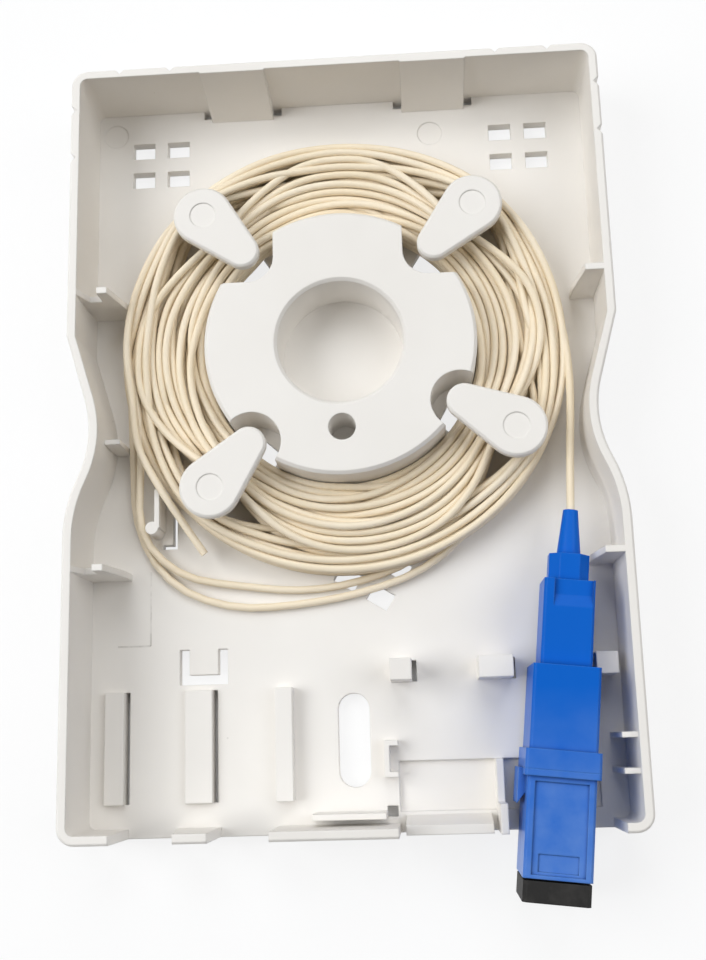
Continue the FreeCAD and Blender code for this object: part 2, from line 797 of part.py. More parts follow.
def latch_ledge():
    """Ledge behind the middle of the bottom wall, with a gap for the cover's latch."""
    back = f"-({INNER_Y}) + ledge_gap"
    return [block("latch_ledge", about("ledge_x", "ledge_width"), (back, f"{back} + ledge_depth"),
                  above_floor("ledge_height"))]


def bay_cuts():
    """Sunk floor for the coupling's band, slits beside the snap posts and the hole beside the ledge."""
    depth = about("bay_post_y", "bay_post_depth")
    divider = about(BAY_MIDDLE, "divider_width")
    middle = about(BAY_MIDDLE, "bay_post_middle_width")
    left_edge = f"{BAY_LEFT} - slit_width + bay_post_width"
    right_edge = f"{BAY_RIGHT} - slit_width/2"
    sunk_y = (f"-({INNER_Y}) + bay_sill", "bay_floor_top")
    sunk_z = ("floor_thickness - bay_floor_depth", "floor_thickness + fit_gap")
    ledge_end = "ledge_x + ledge_width/2"
    ledge_back = f"-({INNER_Y}) + ledge_gap"
    return [
        block("bay_floor_left", (BAY_LEFT, divider[0]), sunk_y, sunk_z),
        block("bay_floor_right", (divider[1], BAY_RIGHT), sunk_y, sunk_z),
        block("post_slit_left", (left_edge, f"{left_edge} + slit_width"), depth, THROUGH),
        block("post_slit_middle", (middle[1], f"{middle[1]} + slit_width"), depth, THROUGH),
        block("post_slit_right", (f"{right_edge} - slit_width", right_edge), depth, THROUGH),
        block("ledge_hole", (ledge_end, f"{ledge_end} + ledge_hole"), (ledge_back, f"{ledge_back} + ledge_hole"),
              THROUGH),
    ]


def base_tray():
    """One moulding: the walls and everything that stands on the floor, then every hole."""
    solids = [tray_shell(), hub_solid()] + gussets() + small_ribs() + cover_tabs() + cable_plates()
    solids += cable_hook() + bay_walls() + latch_ledge()
    holes = hub_cuts() + cover_tab_holes() + break_out_grooves() + cable_plate_slits() + cable_hook_slits()
    holes += tongue_slots() + wall_slot() + bay_cuts() + floor_marks()
    holes += vents("vent_left", "-vent_x", "vent_y", "0") + vents("vent_right", "vent_x", "vent_y", "0")
    holes += vents("vent_rear", "rear_vent_x", "rear_vent_y", "rear_vent_turn")
    for index, angle in enumerate(ARM_ANGLES):
        solids += arm(index, angle)
        holes += arm_cuts(index, angle)
    return cut("base_tray", joined("tray_solids", solids), holes)


# Connector: every piece is drawn about its own +Y axis, ferrule end first, and shares one place

AXIS_X = f"{BAY_RIGHT} - bay_width/2 + axis_shift"
AXIS_Y = "axis_inset - tray_length/2"
AXIS_Z = "floor_thickness + shell_height/2 + band_top"
PORT_X = "(grip_width/2 + slide_gap)"
PORT_Z = "(grip_height/2 + slide_gap)"
CAVITY_X = "(grip_width/2 - grip_skin)"
CAVITY_Z = "(grip_height/2 - grip_skin)"
FRAME_X = "(grip_width/2 - grip_skin - slide_gap)"
FRAME_Z = "(grip_height/2 - grip_skin - latch_room)"
BORE = "(ferrule_radius + bore_gap)"
HOLDER_BORE = "(sleeve_radius + fit_gap)"
CHAMBER = "(flange_radius + slide_gap - 2*fit_gap)"


def on_axis(solid):
    return place(solid, AXIS_X, AXIS_Y, AXIS_Z, "axis_turn")


def both(half):
    return (f"-({half})", half)


def shell_band(side, start, end):
    """Raised band where the two halves of the coupling meet."""
    return bar(f"{side}_band", "shell_width/2 + band_side", "shell_height/2 + band_top", "edge_chamfer", start, end)


def adapter_shell_rear():
    body = bar("rear_body", "shell_width/2", "shell_height/2", "edge_chamfer", "0", "shell_half")
    band = shell_band("rear", "0", "band_rear")
    port = block("rear_port", both(PORT_X), ("-fit_gap", "shell_half + fit_gap"), both(PORT_Z))
    return on_axis(cut("adapter_shell_rear", joined("rear_outside", [body, band]), [port]))


def adapter_shell_front():
    """The front half has a sunk panel with a bare label place on top, and a slant-ended ear on its left side."""
    edge = "shell_width/2"
    top = "shell_height/2"
    body = bar("front_body", edge, top, "edge_chamfer", "-shell_half", "0")
    band = shell_band("front", "-band_front", "0")
    ear = extruded("front_ear", "XY_Plane", [
        (f"-{edge}", "0"), (f"-({edge} + ear_reach)", "0"), (f"-({edge} + ear_reach)", "-ear_length"),
        (f"-{edge}", "-ear_length + ear_nose")], "ear_low + ear_high")
    place(ear, z="-ear_low")
    port = block("front_port", both(PORT_X), ("-shell_half - fit_gap", "fit_gap"), both(PORT_Z))
    panel_end = "-shell_half + panel_end"
    panel = block("front_panel", both(f"{edge} - panel_margin"), (panel_end, "-panel_start"),
                  (f"{top} - panel_inset", f"{top} + fit_gap"))
    label = block("front_label", both("label_width/2"),
                  (f"{panel_end} + label_inset", f"{panel_end} + label_inset + label_length"),
                  (f"{top} - panel_inset - label_depth", f"{top} - panel_inset + fit_gap"))
    return on_axis(cut("adapter_shell_front", joined("front_outside", [body, band, ear]), [port, panel, label]))


def sleeve_holder(side, sign):
    """Plate in the middle of the coupling, a tube round the sleeve and two hooked latches."""
    def span(start, end):
        return (start, end) if sign > 0 else (f"-({end})", f"-({start})")

    label = f"sleeve_holder_{side}"
    plate = block(f"{label}_plate", both(f"{PORT_X} - fit_gap"), span("fit_gap/2", "holder_plate"),
                  both(f"{PORT_Z} - fit_gap"))
    ends = span("fit_gap/2", "holder_tube_length")
    tube = ring(f"{label}_tube", "holder_tube_radius", "throat_radius", *ends)
    solids = [plate, tube]
    inner = f"{FRAME_Z} + 2*fit_gap"
    for level, flip in (("upper", ""), ("lower", "-")):
        def height(low, high):
            return (low, high) if not flip else (f"-({high})", f"-({low})")

        solids.append(block(f"{label}_latch_{level}", both("latch_width/2"), span("holder_plate", "latch_length"),
                            height(inner, f"{inner} + latch_thickness")))
        solids.append(block(f"{label}_hook_{level}", both("latch_width/2"),
                            span("latch_length - latch_hook", "latch_length"),
                            height(f"{inner} - latch_hook_drop", inner)))
    room = span("0", "holder_tube_length - holder_lip")
    bore = turned(f"{label}_bore", "XY_Plane", [("0", room[0]), (HOLDER_BORE, room[0]), (HOLDER_BORE, room[1]),
                                                ("0", room[1])])
    return on_axis(cut(label, joined(f"{label}_solids", solids), [bore]))


def alignment_sleeve():
    """Split sleeve: the slit lets it grip both ferrules."""
    tube = ring("sleeve_tube", "sleeve_radius", BORE, "-sleeve_half", "sleeve_half")
    slit = block("sleeve_slit", both("sleeve_split/2"), both("sleeve_half + fit_gap"), ("0", "sleeve_radius + fit_gap"))
    return on_axis(cut("alignment_sleeve", tube, [slit]))


def plug_frame():
    """Square body with a front bore for the holder's tube, a throat and the spring chamber."""
    body = block("frame_body", both(FRAME_X), ("frame_start", "frame_end"), both(FRAME_Z))
    bores = turned("frame_bores", "XY_Plane", [
        ("0", "frame_start - fit_gap"), ("holder_tube_radius + slide_gap", "frame_start - fit_gap"),
        ("holder_tube_radius + slide_gap", "frame_throat"), ("throat_radius", "frame_throat"),
        ("throat_radius", "frame_chamber"), (CHAMBER, "frame_chamber"), (CHAMBER, "frame_end + fit_gap"),
        ("0", "frame_end + fit_gap")])
    reach = ("latch_length - latch_hook - slide_gap", "latch_length + slide_gap")
    low = f"{FRAME_Z} - latch_hook_drop"
    catches = [block("frame_catch_upper", both("latch_width/2 + slide_gap"), reach, (low, f"{FRAME_Z} + fit_gap")),
               block("frame_catch_lower", both("latch_width/2 + slide_gap"), reach,
                     (f"-({FRAME_Z} + fit_gap)", f"-({low})"))]
    return on_axis(cut("plug_frame", body, [bores] + catches))


def grip_step(level, sign):
    """Thumb recess that a ramp leads into, drawn in the plane along the axis."""
    face = f"{sign}(grip_height/2)"
    proud = f"{sign}(grip_height/2 + fit_gap)"
    sunk = f"{sign}(grip_height/2 - grip_step)"
    end = "grip_end + fit_gap"
    step = extruded(f"grip_step_{level}", "YZ_Plane", [
        ("grip_step_start", face), ("grip_step_start + grip_ramp", sunk), (end, sunk), (end, proud),
        ("grip_step_start", proud)], "grip_width - grip_step_left - grip_step_right")
    return place(step, x="grip_step_left - grip_width/2")


def plug_grip():
    """Push-pull sleeve: open at both ends, with a thumb recess above and below at its rear."""
    body = bar("grip_body", "grip_width/2", "grip_height/2", "edge_chamfer", "grip_start", "grip_end")
    front = block("grip_front_room", both(CAVITY_X), ("grip_start - fit_gap", "grip_rear_start"), both(CAVITY_Z))
    rear = block("grip_rear_room", both(CAVITY_X), ("grip_rear_start", "grip_end + fit_gap"), both(CAVITY_X))
    steps = [grip_step("upper", ""), grip_step("lower", "-")]
    return on_axis(cut("plug_grip", body, [front, rear] + steps))


def ferrule():
    tip = "ferrule_radius - ferrule_chamfer"
    return on_axis(turned("ferrule", "XY_Plane", [
        ("0", "0"), (tip, "0"), ("ferrule_radius", "ferrule_chamfer"), ("ferrule_radius", "ferrule_length"),
        ("0", "ferrule_length")]))


def ferrule_flange():
    """Collar that stops at the throat, with a tail that centres the spring."""
    bore = "ferrule_radius + bore_gap"
    end = "flange_start + flange_length"
    step = "flange_start + flange_collar"
    seat = "ferrule_length + bore_gap"
    return on_axis(turned("ferrule_flange", "XY_Plane", [
        (bore, "flange_start"), ("flange_radius", "flange_start"), ("flange_radius", step),
        ("flange_tail_radius", step), ("flange_tail_radius", end), ("fibre_bore", end), ("fibre_bore", seat),
        (bore, seat)]))


def ferrule_spring():
    """Square wire swept along a helix between the flange's collar and the rear body."""
    start = "flange_start + flange_collar + spring_wire + bore_gap"
    length = f"spring_end - bore_gap - spring_wire - ({start})"
    helix = doc.addObject("Part::Helix", "spring_path")
    helix.setExpression("Radius", ref("spring_radius"))
    helix.setExpression("Height", ref(length))
    helix.setExpression("Pitch", ref(f"({length})/spring_turns"))
    wire = doc.addObject("Part::RegularPolygon", "spring_section")
    wire.Polygon = 4
    wire.setExpression("Circumradius", ref("spring_wire"))
    wire.Placement.Rotation = FreeCAD.Rotation(SIDEWAYS, 90)
    wire.setExpression("Placement.Base.x", ref("spring_radius"))
    coil = doc.addObject("Part::Sweep", "spring_coil")
    coil.Sections = [wire]
    coil.Spine = helix
    coil.Solid = True
    coil.Frenet = True
    coil.Placement.Rotation = FreeCAD.Rotation(SIDEWAYS, -90)
    coil.setExpression("Placement.Base.y", ref(start))
    spring = doc.addObject("Part::Compound", "ferrule_spring")
    spring.Links = [coil]
    return on_axis(spring)


def plug_rear_body():
    """Pressed into the frame's rear end; its eight-sided collar shows behind the grip."""
    stub = "frame_end - spring_end"
    bore = "cable_diameter/2 + bore_gap"
    nose = f"{CHAMBER} - fit_gap"
    core = turned("rear_core", "XY_Plane", [
        (bore, "spring_end"), (nose, "spring_end"), (nose, f"spring_end + {stub} + fit_gap"),
        ("shoulder_radius", "frame_end + fit_gap"), ("shoulder_radius", "collar_start + fit_gap"),
        ("tail_radius", "collar_start + fit_gap"), ("tail_radius", "collar_end + tail_length"),
        (bore, "collar_end + tail_length")])
    collar = bar("rear_collar", "collar_width/2", "collar_width/2", "collar_chamfer", "collar_start", "collar_end")
    bore_way = ring("rear_bore", bore, "0", "collar_start - fit_gap", "collar_end + fit_gap")
    return on_axis(cut("plug_rear_body", joined("rear_solids", [core, collar]), [bore_way]))


def crimp_ring():
    start = "collar_end + fit_gap"
    return on_axis(ring("crimp_ring", "crimp_radius", "tail_radius + bore_gap", start, f"{start} + crimp_length"))


def plug_boot():
    """Tapered sleeve over the crimp ring, closed down to the cable at its tip."""
    start = "collar_end + fit_gap"
    end = f"{start} + boot_length"
    room = "crimp_radius + fit_gap"
    inside = "collar_end + tail_length + fit_gap"
    hole = "cable_diameter/2"
    return on_axis(turned("plug_boot", "XY_Plane", [
        (room, start), ("boot_base_radius", start), ("boot_tip_radius", end), (hole, end), (hole, inside),
        (room, inside)]))


def dust_plug():
    """Hollow block in the free port, with a chamfered cap outside it."""
    start = "-shell_half - slide_gap"
    end = "-(latch_length + dust_room)"
    insert = block("dust_insert_block", both("grip_width/2"), (start, end), both("grip_height/2"))
    cap = bar("dust_cap_block", "shell_width/2 - dust_cap_inset", "shell_height/2 - dust_cap_inset", "dust_edge",
              f"{start} - dust_cap", start)
    bore = ring("dust_bore_way", "dust_bore", "0", f"{start} + dust_edge", f"{end} + fit_gap")
    return on_axis(cut("dust_plug", joined("dust_solids", [insert, cap]), [bore]))


# Cable: tubes of straight runs joined by tangent arcs, and one solid for the coil

def axis_point(along):
    """Point of the connector's axis, that far from the coupling's middle."""
    turn = math.radians(value("axis_turn"))
    return (value(AXIS_X) - along * math.sin(turn), value(AXIS_Y) + along * math.cos(turn), value(AXIS_Z))


def tube_section(spot, along):
    """Six-sided section, square to the first run; its corners lie on the cable's round."""
    turn = FreeCAD.Rotation(VERTICAL, along)
    radius = FreeCAD.Vector(value("cable_diameter/2"), 0, 0)
    corners = [spot + turn.multVec(FreeCAD.Rotation(VERTICAL, 360 / TUBE_SIDES * side).multVec(radius))
               for side in range(TUBE_SIDES)]
    return Part.makePolygon(corners + corners[:1])


def cable_tube(label, route):
    """Sweep the cable's section along the route; each arc is as large as its two runs allow."""
    spots = [FreeCAD.Vector(*point) for point in route]
    edges = []
    radii = []
    start = spots[0]
    for before, corner, after in zip(spots, spots[1:], spots[2:]):
        back = (before - corner).normalize()
        ahead = (after - corner).normalize()
        turn = math.pi - back.getAngle(ahead)
        setback = 0.45 * min((before - corner).Length, (after - corner).Length)
        radius = setback / math.tan(turn / 2)
        inward = (back + ahead).normalize()
        first = corner + back * setback
        last = corner + ahead * setback
        middle = corner + inward * (radius / math.cos(turn / 2) - radius)
        edges.append(Part.LineSegment(start, first).toShape())
        edges.append(Part.Arc(first, middle, last).toShape())
        radii.append(round(radius, 1))
        start = last
    edges.append(Part.LineSegment(start, spots[-1]).toShape())
    path = Part.Wire(edges)
    section = tube_section(spots[0], spots[1] - spots[0])
    solid = path.makePipeShell([section], True, False)
    expected = Part.Face(section).Area * path.Length
    print(f"{label}: length {path.Length:.1f}, volume over expected {solid.Volume / expected:.3f}, radii {radii}")
    tube = doc.addObject("Part::Feature", label)
    tube.Shape = solid
    tube.Placement = FreeCAD.Placement()
    return tube


def fibre_lead():
    """From the boot's tip along the right wall to the outside of the coil."""
    tip = axis_point(value("collar_end + fit_gap + boot_length"))
    return cable_tube("fibre_lead", [tip, (34.5, -4.0, 8.3), (35.5, 6.2, 7.0), (35.1, 16.2, 5.8), (32.9, 25.4, 5.2)])


def loose_turn_outer():
    """Slack turn that swings wide of the coil under the drum, low on the floor."""
    return cable_tube("loose_turn_outer", [
        (-34.2, 8.4, 4.6), (-33.9, -2.4, 3.6), (-33.8, -13.2, 2.7), (-28.4, -22.4, 2.6), (-18.4, -26.4, 2.6),
        (-7.8, -26.0, 2.6), (2.6, -24.4, 2.7), (12.6, -21.0, 3.2), (20.4, -13.8, 4.2), (27.0, -6.0, 5.3)])


def loose_turn_inner():
    """Second slack turn, over the outer one beside the hook and then between it and the coil."""
    return cable_tube("loose_turn_inner", [
        (-32.6, 5.2, 5.8), (-32.4, -4.4, 5.0), (-33.0, -14.4, 4.3), (-26.6, -21.2, 3.2), (-16.8, -22.8, 2.6),
        (-7.0, -24.0, 2.6), (2.6, -22.6, 2.6), (11.4, -19.2, 3.0), (17.2, -12.2, 3.6)])


def cable_tail():
    """The free cut end, which leaves the coil over the hook."""
    return cable_tube("cable_tail", [
        (-33.4, 6.8, 7.0), (-32.8, -0.6, 7.3), (-29.3, -7.0, 7.6), (-25.6, -12.8, 7.0), (-22.1, -18.0, 6.1)])


def cable_coil():
    """Outer shape of the turns between the drum and the walls, with square room for the four posts."""
    inner = "hub_radius + coil_gap"
    base = "floor_thickness + coil_gap"
    shape = turned("coil_turns", "XZ_Plane", [
        (inner, base), ("coil_outer", base), ("coil_outer", "floor_thickness + coil_edge"),
        ("coil_crown", "floor_thickness + coil_height"), (inner, "floor_thickness + coil_height")])
    place(shape, y="hub_y")
    side = "2*(post_radius + coil_gap)"
    rooms = [block(f"coil_room_{index}", about(f"arm_pitch*cos({angle})", side),
                   about(f"hub_y + arm_pitch*sin({angle})", side), above_floor("coil_height + fit_gap"))
             for index, angle in enumerate(ARM_ANGLES)]
    return cut("cable_coil", shape, rooms)


# Build, check and write

parts = [
    base_tray(), adapter_shell_rear(), adapter_shell_front(), sleeve_holder("rear", 1), sleeve_holder("front", -1),
    alignment_sleeve(), plug_frame(), plug_grip(), ferrule(), ferrule_flange(), ferrule_spring(), plug_rear_body(),
    crimp_ring(), plug_boot(), dust_plug(), fibre_lead(), loose_turn_outer(), loose_turn_inner(), cable_tail(),
    cable_coil(),
]
doc.recompute()

for item in doc.Objects:
    if "Invalid" in item.State or "Error" in item.State:
        raise RuntimeError(f"{item.Name} failed: {item.State}")
for part in parts:
    if part.Shape.isNull() or not part.Shape.isValid():
        raise RuntimeError(f"{part.Label} has no valid shape")

os.makedirs("parts", exist_ok=True)
for part in parts:
    part.Shape.exportStep(f"parts/{part.Label}.step")
    print(f"{part.Label}: {len(part.Shape.Solids)} solid, {part.Shape.Volume:.1f} mm3")
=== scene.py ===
# %% [markdown]
# # A fibre termination box, dressed for the studio
#
# The packed model is the frame: every moulded piece, the connector and the moving parts are already
# in it at their real size. This script adds what a solid model leaves out. It winds the cable,
# gives every piece its finish, and sets up the camera and the light. Blender works in metres, and a
# moulding like this is easier to read in millimetres, so one factor turns millimetres into metres.

# %% Load the frame
import math

import bmesh
import bpy
import numpy as np
from mathutils import Matrix, Vector


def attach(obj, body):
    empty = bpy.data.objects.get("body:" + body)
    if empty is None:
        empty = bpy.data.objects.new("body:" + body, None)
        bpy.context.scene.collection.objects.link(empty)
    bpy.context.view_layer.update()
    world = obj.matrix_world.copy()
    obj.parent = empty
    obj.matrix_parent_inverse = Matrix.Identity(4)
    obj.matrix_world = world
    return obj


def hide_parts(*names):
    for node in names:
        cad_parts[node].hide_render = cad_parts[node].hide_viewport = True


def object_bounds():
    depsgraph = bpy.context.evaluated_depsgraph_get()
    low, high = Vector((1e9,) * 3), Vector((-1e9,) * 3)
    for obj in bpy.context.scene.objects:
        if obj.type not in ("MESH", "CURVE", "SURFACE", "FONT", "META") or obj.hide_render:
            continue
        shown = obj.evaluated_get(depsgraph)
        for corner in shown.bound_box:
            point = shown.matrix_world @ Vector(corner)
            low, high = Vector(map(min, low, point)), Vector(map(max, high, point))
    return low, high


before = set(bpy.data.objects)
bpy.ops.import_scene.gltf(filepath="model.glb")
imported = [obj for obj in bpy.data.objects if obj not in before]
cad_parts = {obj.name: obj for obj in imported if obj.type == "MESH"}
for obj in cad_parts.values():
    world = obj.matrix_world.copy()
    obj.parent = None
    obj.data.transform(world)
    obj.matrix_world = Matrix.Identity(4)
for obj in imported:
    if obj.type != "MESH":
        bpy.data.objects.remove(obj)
cad_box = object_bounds()
MM = 0.001
sides = [round(side / MM, 1) for side in cad_box[1] - cad_box[0]]
print(len(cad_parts), "pieces in a box of", sides, "mm")

# %% [markdown]
# ## Camera
#
# The photograph looks down into the tray from the connector's side. A camera can be placed by eye,
# or worked out from points whose real places are known. These numbers come from the tray's corners,
# the round recess and the coupling. The focal length is kept in pixels of the 706 by 960 frame,
# because that is how it was measured. With the sensor fit on automatic, the sensor's width lies
# along the longer side of the picture.

# %% Place the camera
FRAME_HEIGHT = 960
FOCAL_PIXELS = 1223.5
SENSOR_WIDTH = 36
NEAREST_SEEN = 5 * MM
CAMERA_PLACE = Vector((11.357, -47.114, 191.503)) * MM
TILT, PAN, ROLL = -0.2115, -0.0551, 0.0287

lens = bpy.data.cameras.new("camera")
lens.sensor_width = SENSOR_WIDTH
lens.lens = FOCAL_PIXELS * SENSOR_WIDTH / FRAME_HEIGHT
lens.clip_start = NEAREST_SEEN
camera = bpy.data.objects.new("camera", lens)
turn = Matrix.Rotation(ROLL, 3, "Z") @ Matrix.Rotation(TILT, 3, "X") @ Matrix.Rotation(PAN, 3, "Y")
camera.matrix_world = Matrix.Translation(CAMERA_PLACE) @ turn.transposed().to_4x4()
bpy.context.collection.objects.link(camera)
bpy.context.scene.camera = camera
print(f"lens {lens.lens:.1f} mm, camera at", [round(axis / MM) for axis in CAMERA_PLACE], "mm")

# %% [markdown]
# ## The cable's loose stretches
#
# One length of cable runs from the connector's boot along the right wall to the drum, goes round it
# many times, drops out of the coil twice in slack turns under the drum, and ends in a bare cut tip
# beside the hook. Each loose stretch is a short list of given points. They become control
# points of one smooth spline later.

# %% Points of the loose stretches
LEAD = [
    (33.91, -13.90, 8.9), (34.5, -4.0, 8.3), (35.5, 6.2, 7.0), (35.1, 16.2, 5.8), (32.9, 25.4, 5.2)]
SLACK_OUTER = [
    (-34.2, 8.4, 4.6), (-33.9, -2.4, 3.6), (-33.8, -13.2, 2.7), (-28.4, -22.4, 2.6), (-18.4, -26.4, 2.6),
    (-7.8, -26.0, 2.6), (2.6, -24.4, 2.7), (12.6, -21.0, 3.2), (20.4, -13.8, 4.2), (27.0, -6.0, 5.3)]
SLACK_INNER = [
    (-32.6, 5.2, 5.8), (-32.4, -4.4, 5.0), (-33.0, -14.4, 4.3), (-26.6, -21.2, 3.2), (-16.8, -22.8, 2.6),
    (-7.0, -24.0, 2.6), (2.6, -22.6, 2.6), (11.4, -19.2, 3.0), (17.2, -12.2, 3.6)]
TAIL = [
    (-33.4, 6.8, 7.0), (-32.8, -0.6, 7.3), (-29.3, -7.0, 7.6), (-25.6, -12.8, 7.0), (-22.1, -18.0, 6.1)]
print("loose stretches of", [len(stretch) for stretch in (LEAD, SLACK_OUTER, SLACK_INNER, TAIL)], "points")

# %% [markdown]
# ## Stations round the drum
#
# The turns are easiest to plan about the drum's middle, as an angle, a radius and a height. A
# station is a fixed angle round the drum, so strands can be compared where they pass the same
# station.

# %% Stations
DRUM_Y = 13.8
STATIONS = 36
STEP = 360 / STATIONS


def polar(point):
    """Angle in degrees, radius and height of a point about the drum."""
    across, along = point[0], point[1] - DRUM_Y
    return math.degrees(math.atan2(along, across)) % 360, math.hypot(across, along), point[2]


print(f"{STATIONS} stations, one every {STEP:.0f} degrees")

# %% [markdown]
# ## The turns on the drum
#
# The turns could be a plain helix, but a hand-wound coil is never that even: turns lie in the gaps
# between others, the first and last few pass outside the four posts, and each wanders from one
# layer to the next. So every turn first gets a lane of its own, a radius and a height, and the
# strand drifts from each lane to the next one. The first and last lanes are the ends of the loose
# stretches, so the strand runs into them without a kink. The lanes are drawn at random, between
# limits for turns inside the posts and for turns outside them.

# %% Lanes of the winding
TURNS = 44
OUTSIDE_TURNS = 7.5
CLEAR_OF_END = 1
INSIDE_LANES = ((22.2, 33.0), (4.6, 9.8))
OUTSIDE_LANES = ((29.0, 34.8), (2.6, 7.6))
SEED = 11
draw = np.random.default_rng(SEED)


def passes_outside(way, total):
    """True for the first and last few turns, which go round outside the posts."""
    return (way < OUTSIDE_TURNS) | (way > total - OUTSIDE_TURNS)


def strand(before, after, turns):
    """Stations, (radius, height) at each and outside marks, between the ends of two loose stretches."""
    start, end = polar(before), polar(after)
    first = math.floor(start[0] / STEP + CLEAR_OF_END) + 1
    last = math.ceil(end[0] / STEP - CLEAR_OF_END) - 1
    last += STATIONS * (turns + (last < first))
    stations = np.arange(first, last + 1)
    way = (stations - first) / STATIONS
    lane = np.append(np.arange(turns + 1), way[-1])
    out = passes_outside(lane, way[-1])
    columns = []
    for inside, outside, end_in, end_out in zip(INSIDE_LANES, OUTSIDE_LANES, start[1:], end[1:]):
        places = np.where(out, draw.uniform(*outside, len(lane)), draw.uniform(*inside, len(lane)))
        places[0], places[-1] = end_in, end_out
        columns.append(np.interp(way, lane, places))
    return stations, np.column_stack(columns), passes_outside(way, way[-1])


coil_parts = [(LEAD, SLACK_OUTER, TURNS), (SLACK_OUTER, SLACK_INNER, 0), (SLACK_INNER, TAIL, 0)]
strands = [strand(before[-1], after[0], turns) for before, after, turns in coil_parts]
print("stations in each stretch of the coil:", [len(stations) for stations, places, out in strands])

# %% [markdown]
# ## Limits of the winding
#
# The drum, the floor, the posts and the arms are limits that no strand passes. At a post the inner
# turns keep to its inside and the outer turns to its outside, and between two posts both may bulge.
# All strands go into one table with a row for each station, and the ends of the loose stretches are
# rows that stay where they are. The lanes are then brought inside the limits and smoothed a little,
# so that a strand bends round a post softly.

# %% Limits
HELD = -1
POSTS = (45, 134.5, 228, 330.5)
POST_HALF, POST_EASE, ARM_HALF = 5.5, 0.25, 11
DRUM_SIDE, POST_INSIDE, POST_OUTSIDE, COIL_SIDE = 21.9, 27.4, 33.15, 34.9
LOWEST, UNDER_ARM, CREST = 2.45, 9.95, 10.3
LANE_PASSES = 3

spots, at, outside = [], [], []
for (stations, places, out), (before, after, turns) in zip(strands, coil_parts):
    spots += [polar(before[-1])[1:], *places, polar(after[0])[1:]]
    at += [HELD, *(stations % STATIONS), HELD]
    outside += [True, *out, True]
spots, at, outside = np.array(spots), np.array(at), np.array(outside)
free = np.flatnonzero(at != HELD)

from_post = np.min([np.abs((at * STEP - post + 180) % 360 - 180) for post in POSTS], axis=0)
ease = POST_EASE * np.maximum(from_post - POST_HALF, 0)
low_side = np.where(outside, np.maximum(POST_OUTSIDE - ease, DRUM_SIDE), DRUM_SIDE)[free]
high_side = np.where(outside, COIL_SIDE, np.minimum(POST_INSIDE + ease, COIL_SIDE))[free]
ceiling = np.where(from_post < ARM_HALF, UNDER_ARM, CREST)[free]

lane_spots = spots.copy()
lane_spots[free, 0] = np.clip(spots[free, 0], low_side, high_side)
for count in range(LANE_PASSES):
    lane_spots[free] = (lane_spots[free - 1] + 2 * lane_spots[free] + lane_spots[free + 1]) / 4
print(f"{len(free)} rows are free to move, {np.count_nonzero(outside[free])} of them outside the posts")

# %% [markdown]
# ## Let the winding settle
#
# Lanes drawn at random overlap, so the winding settles in small rounds, as a real one does when it
# is pulled tight. Each round keeps every strand smooth, lets it sink a little, pushes apart the
# strands that meet at a station, and brings all of them back inside the limits. Smoothing works on
# how far a strand is off its lane, so the strand keeps its bulge between two posts. The pull
# towards the lanes and the sinking fade, and the last rounds clear what still overlaps. The coil is
# lower towards its rim, so the top limit falls off there.

# %% Settle
CABLE_WIDTH = 1.2
ROOM = 1.05 * CABLE_WIDTH
ROUNDS, PULLED_ROUNDS = 700, 300
SMOOTH, SMOOTH_MORE = 0.04, 0.2
PULL, PUSH = 0.03, 0.35
SINK, LAST_SINK = 0.3, 0.006
CROWN, CROWN_FALL = 30, 0.4
TINY = 0.001


def push_apart(group):
    """Strands at one station that overlap each move away from the other."""
    apart = spots[group][:, None] - spots[group][None]
    distance = np.hypot(apart[..., 0], apart[..., 1])
    np.fill_diagonal(distance, 2 * ROOM)
    push = PUSH * np.maximum(ROOM - distance, 0) / np.maximum(distance, TINY)
    spots[group] += (apart * push[..., None]).sum(axis=1)


meeting = [np.flatnonzero(at == station) for station in range(STATIONS)]
for count in range(ROUNDS):
    slack = max(1 - count / PULLED_ROUNDS, 0)
    off = spots - lane_spots
    spots[free] += (SMOOTH + SMOOTH_MORE * slack) * ((off[free - 1] + off[free + 1]) / 2 - off[free])
    spots[free] += PULL * slack * (lane_spots[free] - spots[free])
    spots[free, 1] -= max(SINK * slack, LAST_SINK)
    for group in meeting:
        push_apart(group)
    spots[free, 0] = np.clip(spots[free, 0], low_side, high_side)
    top = ceiling - CROWN_FALL * np.maximum(spots[free, 0] - CROWN, 0)
    spots[free, 1] = np.clip(spots[free, 1], LOWEST, top)
least, most = spots[free].min(axis=0).round(1), spots[free].max(axis=0).round(1)
print(f"the coil spans radius {least[0]} to {most[0]} and height {least[1]} to {most[1]} mm")

# %% [markdown]
# ## The cable's route
#
# The loose stretches and the settled turns are joined into one list of points, from the connector
# to the cut tip. They will be the control points of a spline, and such a spline runs a little
# inside them, so the turns' radius is first divided by the cosine of half a step.

# %% Join the route
turn_points = []
for (stations, places, out), first in zip(strands, np.flatnonzero(at == HELD)[::2] + 1):
    settled = spots[first:first + len(stations)]
    angle = np.radians(stations * STEP)
    radius = settled[:, 0] / math.cos(math.radians(STEP / 2))
    across, along = radius * np.cos(angle), DRUM_Y + radius * np.sin(angle)
    turn_points.append(np.column_stack((across, along, settled[:, 1])))
winding, second_pass, third_pass = turn_points
route = np.concatenate((LEAD, winding, SLACK_OUTER, second_pass, SLACK_INNER, third_pass, TAIL)) * MM
along_route = np.linalg.norm(np.diff(route, axis=0), axis=1).sum()
print(f"route of {len(route)} points, {along_route:.2f} m along them")

# %% [markdown]
# ## One spline for the whole cable
#
# The cable could be many short pieces, but it is one length on the real object, so it is one open
# NURBS spline of order 3, which is smooth all the way. The curve's own bevel makes the round
# sheath. Each point's radius holds the cable's half width and the bevel depth is 1, so that the
# curve's box is right too. The order is set after the points, because before them it has no effect.

# %% Make the cable
STEPS_ALONG, STEPS_ROUND = 3, 4

